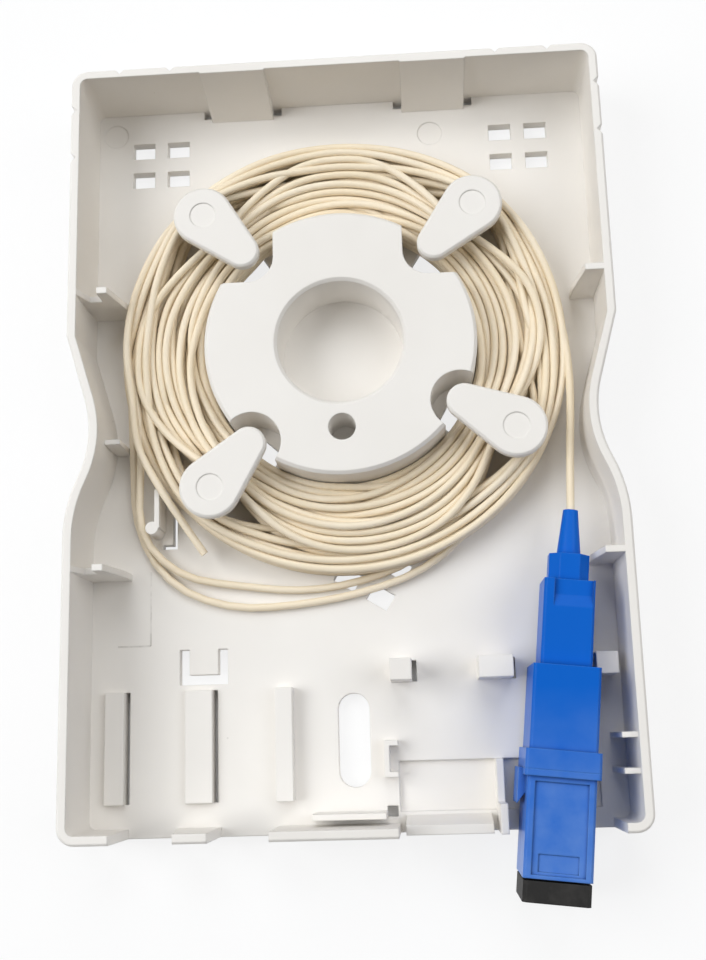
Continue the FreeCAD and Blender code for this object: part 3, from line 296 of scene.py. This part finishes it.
curve = bpy.data.curves.new("fibre_cable", "CURVE")
curve.dimensions = "3D"
spline = curve.splines.new("NURBS")
spline.points.add(len(route) - 1)
spline.points.foreach_set("co", np.column_stack((route, np.ones(len(route)))).ravel())
spline.points.foreach_set("radius", np.full(len(route), CABLE_WIDTH / 2 * MM))
spline.order_u = 3
spline.use_endpoint_u = True
spline.resolution_u = STEPS_ALONG
curve.bevel_depth = 1
curve.bevel_resolution = STEPS_ROUND
curve.use_fill_caps = True
cable = bpy.data.objects.new("fibre_cable", curve)
bpy.context.collection.objects.link(cable)

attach(cable, "tray")
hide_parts("cable_coil", "fibre_lead", "loose_turn_outer", "loose_turn_inner", "cable_tail")
print(f"cable of {len(route)} control points")

# %% [markdown]
# ## Sums on sockets
#
# Every finish is a node tree. Clicking nodes together is fine in the editor, but in a script the
# sums get hard to read, so a small class wraps a socket and lets plain arithmetic add the Math
# nodes.

# %% Sockets that do sums
class Value:
    """A socket of a finish; sums with it add Math nodes."""

    def __init__(self, finish, socket):
        self.finish = finish
        self.socket = socket

    def work_out(self, operation, *given):
        """One Math node on the values given."""
        return self.finish.node("ShaderNodeMath", {"operation": operation}, dict(enumerate(given)))

    def __abs__(self):
        return self.work_out("ABSOLUTE", self)

    def __add__(self, other):
        return self.work_out("ADD", self, other)

    def __sub__(self, other):
        return self.work_out("SUBTRACT", self, other)

    def __rsub__(self, other):
        return self.work_out("SUBTRACT", other, self)

    def __mul__(self, other):
        return self.work_out("MULTIPLY", self, other)

    def __lt__(self, other):
        return self.work_out("LESS_THAN", self, other)

    def __gt__(self, other):
        return self.work_out("GREATER_THAN", self, other)

    __radd__ = __add__
    __rmul__ = __mul__


print("sockets can be added, taken away, multiplied and compared")

# %% [markdown]
# ## A small kit for finishes
#
# All nodes come from one method: it takes the node's type, its settings, and what goes into its
# sockets. The patterns that most finishes share are short methods on top of it, and what is the
# same all over a surface is set on the shader's own sockets. Patterns read the object's own
# coordinates, so they stay put when a piece moves.

# %% Finishes
EDGE_SAMPLES = 6


class Finish:
    """A node tree round one shader."""

    def __init__(self, name, constants, data=bpy.data.materials, shader="Principled BSDF"):
        self.material = data.new(name)
        self.material.use_nodes = True
        self.tree = self.material.node_tree
        self.shader = self.tree.nodes[shader]
        self.fill(self.shader, constants)

    def fill(self, node, sockets):
        """Link a value to a socket, or set a plain number or colour on it."""
        for name, given in sockets.items():
            if isinstance(given, Value):
                self.tree.links.new(given.socket, node.inputs[name])
            else:
                node.inputs[name].default_value = given

    def node(self, kind, settings, sockets, output=0):
        """Add a node: settings first, ramp stops among them, then sockets; gives back one output."""
        node = self.tree.nodes.new(kind)
        for name, setting in settings.items():
            if name == "stops":
                for element, (place, shade) in zip(node.color_ramp.elements, setting):
                    element.position = place
                    element.color = (shade, shade, shade, 1)
            else:
                setattr(node, name, setting)
        self.fill(node, sockets)
        return Value(self, node.outputs[output])

    def place(self):
        """The object's own coordinates."""
        return self.node("ShaderNodeTexCoord", {}, {}, "Object")

    def axis(self, name):
        """One object coordinate, in metres."""
        return self.node("ShaderNodeSeparateXYZ", {}, {"Vector": self.place()}, name)

    def noise(self, scale, detail=2, vector=None):
        """Soft noise from 0 to 1; scale is in features to the metre."""
        sockets = {"Vector": vector or self.place(), "Scale": scale, "Detail": detail}
        return self.node("ShaderNodeTexNoise", {}, sockets)

    def mask(self, value, low, high):
        """0 below one level and 1 above another."""
        return self.node("ShaderNodeValToRGB", {"stops": ((low, 0), (high, 1))}, {"Fac": value})

    def mix(self, share, first, second):
        """Mix two colours; on a Mix node, sockets 6 and 7 and output 2 are the ones for colours."""
        colours = [given if isinstance(given, Value) else (*given, 1) for given in (first, second)]
        sockets = {0: share, 6: colours[0], 7: colours[1]}
        return self.node("ShaderNodeMix", {"data_type": "RGBA"}, sockets, 2)

    def soft_edge(self, radius):
        """Normals that round off edges by a radius, as a mould does."""
        return self.node("ShaderNodeBevel", {"samples": EDGE_SAMPLES}, {"Radius": radius})

    def surface(self, colour, roughness, height, depth, rounded):
        """Join colour, roughness and a fine relief to the shader."""
        relief = {"Height": height, "Distance": depth, "Strength": 1.0, "Normal": rounded}
        normal = self.node("ShaderNodeBump", {}, relief)
        self.fill(self.shader, {"Base Color": colour, "Roughness": roughness, "Normal": normal})
        return self.material


def dress(material, *names):
    """Give CAD nodes or pieces a finish."""
    for name in names:
        mesh = bpy.data.objects[name].data
        mesh.materials.clear()
        mesh.materials.append(material)
    print(material.name, "on", ", ".join(names))


print("a finish can", ", ".join(name for name in vars(Finish) if not name.startswith("_")))

# %% [markdown]
# ## White tray
#
# The tray is a satin white moulding. On the real one the white is slightly warm and not quite even,
# with a fine grain from the mould, a few dark specks and a soft radius on every edge. Noise at
# three scales gives the tint, the sheen and the grain, and a pattern of cells keeps only the
# middles of a few as specks. By the left wall two fine lines mark the edges of a panel in the
# floor. They have no depth that can be seen, so they are drawn in the colour: a line is where one
# coordinate is close to a level and the other lies between two ends.

# %% Tray finish
TRAY_WHITE, TRAY_SHADE, SPECK = (0.88, 0.85, 0.805), (0.81, 0.775, 0.725), (0.30, 0.27, 0.23)
SHADE_MOST, SPECK_MOST, LINE_MOST = 0.6, 0.7, 0.45
SPECK_CELLS, SPECK_SIZE = 130.0, 0.022
PANEL_LEFT, PANEL_RIGHT, PANEL_LOW, PANEL_HIGH = -36.6 * MM, -31.4 * MM, -31.5 * MM, -19.9 * MM
LINE_HALF, ABOVE_BACK = 0.14 * MM, 1 * MM
TRAY_EDGE, TRAY_GRAIN = 0.3 * MM, 0.004 * MM


def panel_lines(finish):
    """1 on the right and the lower edge of the panel, on the floor's upper face."""
    x, y, z = [finish.axis(name) for name in "XYZ"]
    upright = (abs(x - PANEL_RIGHT) < LINE_HALF) * (y > PANEL_LOW) * (y < PANEL_HIGH)
    level = (abs(y - PANEL_LOW) < LINE_HALF) * (x > PANEL_LEFT) * (x < PANEL_RIGHT)
    faded = finish.mask(finish.noise(300, detail=3), low=0.4, high=0.65)
    return (upright + level) * (z > ABOVE_BACK) * faded


def tray_plastic():
    finish = Finish("tray_plastic", {"Specular IOR Level": 0.4})
    tint = finish.mask(finish.noise(45, detail=4), low=0.35, high=0.75)
    cells = finish.node("ShaderNodeTexVoronoi", {}, {"Vector": finish.place(), "Scale": SPECK_CELLS})
    specks = (cells < SPECK_SIZE) * finish.mask(finish.noise(60), low=0.5, high=0.6)
    dark = specks * SPECK_MOST + panel_lines(finish) * LINE_MOST
    colour = finish.mix(dark, finish.mix(tint * SHADE_MOST, TRAY_WHITE, TRAY_SHADE), SPECK)
    rough = 0.4 + 0.14 * finish.noise(420, detail=3)
    grain = finish.noise(5200, detail=1)
    return finish.surface(colour, rough, grain, TRAY_GRAIN, finish.soft_edge(TRAY_EDGE))


dress(tray_plastic(), "base_tray")

# %% [markdown]
# ## Ivory cable sheath
#
# The sheath is a smooth ivory plastic. Neighbouring turns differ a little in tint, because each
# comes from another stretch of the cable. The curve's UV map runs from 0 to 1 along the cable, so
# noise along it gives every turn its own tint, and a finer noise gives the faint unevenness of the
# sheath.

# %% Cable finish
IVORY, IVORY_DEEP = (0.89, 0.785, 0.615), (0.86, 0.735, 0.54)
TINTS_ALONG = 90
SHEATH_EDGE, SHEATH_GRAIN = 0.05 * MM, 0.01 * MM


def cable_sheath():
    finish = Finish("cable_sheath", {"Specular IOR Level": 0.45})
    uv = finish.node("ShaderNodeTexCoord", {}, {}, "UV")
    along = finish.node("ShaderNodeSeparateXYZ", {}, {"Vector": uv})
    sockets = {"W": along * TINTS_ALONG, "Detail": 2.0}
    drift = finish.node("ShaderNodeTexNoise", {"noise_dimensions": "1D"}, sockets)
    colour = finish.mix(finish.mask(drift, low=0.3, high=0.7), IVORY, IVORY_DEEP)
    rough = 0.36 + 0.16 * finish.noise(700)
    return finish.surface(colour, rough, finish.noise(1500), SHEATH_GRAIN, finish.soft_edge(SHEATH_EDGE))


dress(cable_sheath(), "fibre_cable")

# %% [markdown]
# ## Edges and corners
#
# Wear shows on outer edges, and inner corners get a painted shade. Both could be painted by hand on an
# image, but nodes can find them on any shape. Where a rounded normal leaves the true normal there
# is an edge. An Ambient Occlusion node with a short reach tells how closed in a place is, and the
# shade is painted there.

# %% Find edges and corners
CREASE_SAMPLES = 8


def edge_mask(finish, rounded):
    """Near 0 on flat faces, and more on edges, where the rounded normal leaves the true one."""
    true = finish.node("ShaderNodeNewGeometry", {}, {}, "Normal")
    same = finish.node("ShaderNodeVectorMath", {"operation": "DOT_PRODUCT"}, {0: true, 1: rounded}, "Value")
    return 1 - same


def creases(finish, reach):
    """From 0 in the open to 1 in a tight corner; reach is how far off the other face may be."""
    sampled = {"samples": CREASE_SAMPLES}
    return 1 - finish.node("ShaderNodeAmbientOcclusion", sampled, {"Distance": reach}, "AO")


print("edges and corners can be found")

# %% [markdown]
# ## Blue connector
#
# The connector and its coupling are one strong blue, a semi-gloss moulding. Handling wears the
# corners to a paler blue and leaves fine dull marks. The wear follows the edges, and noise breaks
# it up. Dull marks are long thin noise along the connector. Towards its free port the coupling gets
# a painted sheen: a pale blue, standing in for the reflection of a broad light, is mixed in by the
# place along the connector. A painted shade of deep blue darkens the places where two faces meet in
# a corner, and it lies over the rest.

# %% Blue finish
BLUE, BLUE_WORN = (0.003, 0.122, 0.58), (0.05, 0.25, 0.76)
# the pale blue below is a painted sheen, and the deep blue is a painted shade
PAINTED_SHEEN_BLUE, PAINTED_SHADE_BLUE = (0.60, 0.82, 0.95), (0.001, 0.025, 0.16)
WEAR_MOST, PAINTED_SHEEN_MOST, PAINTED_SHADE_MOST = 0.55, 0.24, 0.85
CONNECTOR_TURN, MARKS_STRETCH = math.radians(6.3), 0.12
SHEEN_FROM, SHEEN_TO, CREASE_REACH = -40 * MM, -58 * MM, 1.6 * MM
BLUE_EDGE, BLUE_GRAIN = 0.28 * MM, 0.006 * MM


def dull_marks(finish):
    """Long thin noise along the connector."""
    turned = {"Vector": finish.place(), "Rotation": (0, 0, CONNECTOR_TURN), "Scale": (1, MARKS_STRETCH, 1)}
    place = finish.node("ShaderNodeMapping", {}, turned)
    return finish.mask(finish.noise(1400, detail=5, vector=place), low=0.56, high=0.75)


def blue_plastic():
    finish = Finish("blue_plastic", {"Specular IOR Level": 0.1})
    rounded = finish.soft_edge(BLUE_EDGE)
    wear = finish.mask(edge_mask(finish, rounded) * finish.noise(900, detail=4), low=0.03, high=0.12)
    # painted sheen: towards the free port a pale blue is mixed in, standing in for a broad light's
    # reflection
    front = finish.mask((finish.axis("Y") - SHEEN_FROM) * (1 / (SHEEN_TO - SHEEN_FROM)), low=0, high=1)
    painted_sheen = front * PAINTED_SHEEN_MOST * finish.noise(240, detail=3)
    # painted shade: deep blue darkens tight corners and seams, where Ambient Occlusion finds them closed in
    painted_shade = finish.mask(creases(finish, CREASE_REACH), low=0.2, high=0.75) * PAINTED_SHADE_MOST
    worn = finish.mix(wear * WEAR_MOST, BLUE, BLUE_WORN)
    colour = finish.mix(painted_shade, finish.mix(painted_sheen, worn, PAINTED_SHEEN_BLUE), PAINTED_SHADE_BLUE)
    rough = 0.3 + 0.22 * dull_marks(finish)
    return finish.surface(colour, rough, finish.noise(3800), BLUE_GRAIN, rounded)


dress(blue_plastic(), "plug_boot", "plug_rear_body", "plug_grip",
      "adapter_shell_rear", "adapter_shell_front")

# %% [markdown]
# ## Black dust plug
#
# The plug in the free port is a matt black moulding, greyed by handling. Soft noise lightens it in
# patches and more along its corners.

# %% Black finish
BLACK, BLACK_WORN = (0.012, 0.0115, 0.011), (0.05, 0.047, 0.044)
GREY_MOST, CORNER_MOST = 0.5, 0.4
BLACK_EDGE, BLACK_GRAIN = 0.3 * MM, 0.02 * MM


def black_plastic():
    finish = Finish("black_plastic", {"Specular IOR Level": 0.2})
    rounded = finish.soft_edge(BLACK_EDGE)
    grey = finish.mask(finish.noise(500, detail=5), low=0.45, high=0.8) * GREY_MOST
    corners = finish.mask(edge_mask(finish, rounded), low=0.02, high=0.3) * CORNER_MOST
    colour = finish.mix(grey + corners, BLACK, BLACK_WORN)
    rough = 0.5 + 0.2 * finish.noise(1200)
    return finish.surface(colour, rough, finish.noise(2600, detail=3), BLACK_GRAIN, rounded)


dress(black_plastic(), "dust_plug")

# %% [markdown]
# ## Pieces inside the connector
#
# The plug's frame and the sleeve holders are pale mouldings, the ferrule and its sleeve are
# polished ceramic, and the flange, the crimp ring and the spring are metal. They show only when a
# piece moves, but each still gets a finish with a fine grain of its own. One function makes them
# all, because they differ only in colour and sheen.

# %% Inner finishes
INNER_EDGE, INNER_GRAIN = 0.1 * MM, 0.003 * MM


def inner_finish(name, light, dark, rough, grain, metallic=0.0):
    finish = Finish(name, {"Metallic": metallic})
    tint = finish.mask(finish.noise(grain / 4, detail=3), low=0.3, high=0.7)
    colour = finish.mix(tint, light, dark)
    sheen = rough + 0.1 * finish.noise(grain)
    return finish.surface(colour, sheen, finish.noise(grain * 2), INNER_GRAIN, finish.soft_edge(INNER_EDGE))


dress(inner_finish("white_plastic", (0.82, 0.82, 0.80), (0.74, 0.74, 0.72), rough=0.35, grain=3000),
      "plug_frame", "sleeve_holder_rear", "sleeve_holder_front")
dress(inner_finish("ceramic", (0.88, 0.88, 0.85), (0.80, 0.80, 0.76), rough=0.08, grain=6000),
      "ferrule", "alignment_sleeve")
dress(inner_finish("plated_metal", (0.76, 0.75, 0.71), (0.62, 0.61, 0.57), rough=0.22, grain=4000,
                   metallic=1.0),
      "ferrule_flange", "crimp_ring")
dress(inner_finish("spring_steel", (0.62, 0.62, 0.62), (0.48, 0.48, 0.49), rough=0.3, grain=5000,
                   metallic=1.0),
      "ferrule_spring")

# %% [markdown]
# ## White of the floor
#
# The photograph's object lies on white. The floor is a plain white plane that keeps the object's
# soft shadow. For rays from the camera, and for reflections, most of its brightness is plain white,
# which lights nothing. Narrow slits in the tray look dark, so the floor right under them has none
# of that white.

# %% Floor finish
FLOOR_WHITE, FLOOR_GLOW = (0.95, 0.95, 0.95, 1), 0.8
TRAY_HALF_X, TRAY_HALF_Y = 38 * MM, 59.4 * MM
TOP_SLITS, PLATE_SLITS, BAY_SLITS = 56.5 * MM, -38.2 * MM, -34.5 * MM
PLATES_FROM, BAYS_FROM = 3 * MM, 5 * MM


def seen_directly(finish):
    """1 for rays from the camera, from reflections and through clear pieces."""
    kinds = ("Camera", "Glossy", "Transmission")
    rays = [finish.node("ShaderNodeLightPath", {}, {}, f"Is {kind} Ray") for kind in kinds]
    return rays[0] + rays[1] + rays[2]


def under_slits(finish):
    """1 under the tray's narrow slits: by the top wall, the cable plates and the coupling bays."""
    x, y = [finish.axis(name) for name in "XY"]
    tray = (abs(x) < TRAY_HALF_X) * (abs(y) < TRAY_HALF_Y)
    plates = (y < PLATE_SLITS) * (abs(x) > PLATES_FROM)
    bays = (y < BAY_SLITS) * (x > BAYS_FROM)
    return tray * (1 - (y < TOP_SLITS) * (1 - plates) * (1 - bays))


def floor_white():
    finish = Finish("floor_white", {"Base Color": FLOOR_WHITE, "Roughness": 0.9, "Specular IOR Level": 0.0})
    glow = finish.node("ShaderNodeEmission", {}, {"Color": (1, 1, 1, 1), "Strength": 1.0})
    shader = Value(finish, finish.shader.outputs[0])
    share = seen_directly(finish) * FLOOR_GLOW * (1 - under_slits(finish))
    both = finish.node("ShaderNodeMixShader", {}, {0: share, 1: shader, 2: glow})
    finish.fill(finish.tree.nodes["Material Output"], {"Surface": both})
    return finish.material


print("the floor's white can be made")

# %% [markdown]
# ## Floor
#
# A single large face is enough for the floor. It lies a little under the tray, so that the two
# faces don't flicker through each other, and it belongs to the stage and not to the object.

# %% Floor
FLOOR_HALF = 1.5
FLOOR_DROP = 0.3 * MM

bm = bmesh.new()
bmesh.ops.create_grid(bm, x_segments=1, y_segments=1, size=FLOOR_HALF)
bmesh.ops.translate(bm, vec=(0, 0, -FLOOR_DROP), verts=bm.verts)
floor_mesh = bpy.data.meshes.new("floor")
bm.to_mesh(floor_mesh)
bm.free()
floor = bpy.data.objects.new("floor", floor_mesh)
bpy.context.collection.objects.link(floor)
dress(floor_white(), "floor")

# %% [markdown]
# ## Light
#
# The tray's shadows fall to the right and its left walls are grey, so the main light is a large
# soft lamp on the left. A weaker one on the right and one from the far side fill the shadows, and a
# faint warm sky keeps the corners from going black. Together they light the object at a level at
# which a colour renders about as it is written. The sky itself is white where it is seen.

# %% Lamps and sky
LAMPS = {
    "left": ((-0.90, 0.10, 0.90), 11.6),
    "right": ((0.85, 0.15, 1.00), 5.9),
    "top": ((0.00, 0.85, 1.00), 5.5),
}
LAMP_SIZE = 1.0
LAMP_TINT = (0.98, 1.0, 1.02)
SKY_LIGHT = 0.08
SKY_TINT = (1.0, 0.93, 0.86)
WHITE = (1, 1, 1)
for name, (spot, watts) in LAMPS.items():
    lamp = bpy.data.lights.new(name, "AREA")
    lamp.shape = "DISK"
    lamp.size = LAMP_SIZE
    lamp.energy = watts
    lamp.color = LAMP_TINT
    holder = bpy.data.objects.new(name, lamp)
    holder.location = spot
    holder.rotation_mode = "QUATERNION"
    holder.rotation_quaternion = (-Vector(spot)).to_track_quat("-Z", "Y")
    bpy.context.collection.objects.link(holder)

sky = Finish("sky", {"Strength": 1.0}, bpy.data.worlds, "Background")
faint = [SKY_LIGHT * share for share in SKY_TINT]
sky.fill(sky.shader, {"Color": sky.mix(seen_directly(sky), faint, WHITE)})
bpy.context.scene.world = sky.material
bpy.context.scene.view_settings.view_transform = "Standard"
print(f"{len(LAMPS)} lamps and a sky of {SKY_LIGHT}")

# %% [markdown] ## Bring the scene up to date
# The dressed object has to stay inside the solid model's box.

# %% Update the view layer
bpy.context.view_layer.update()
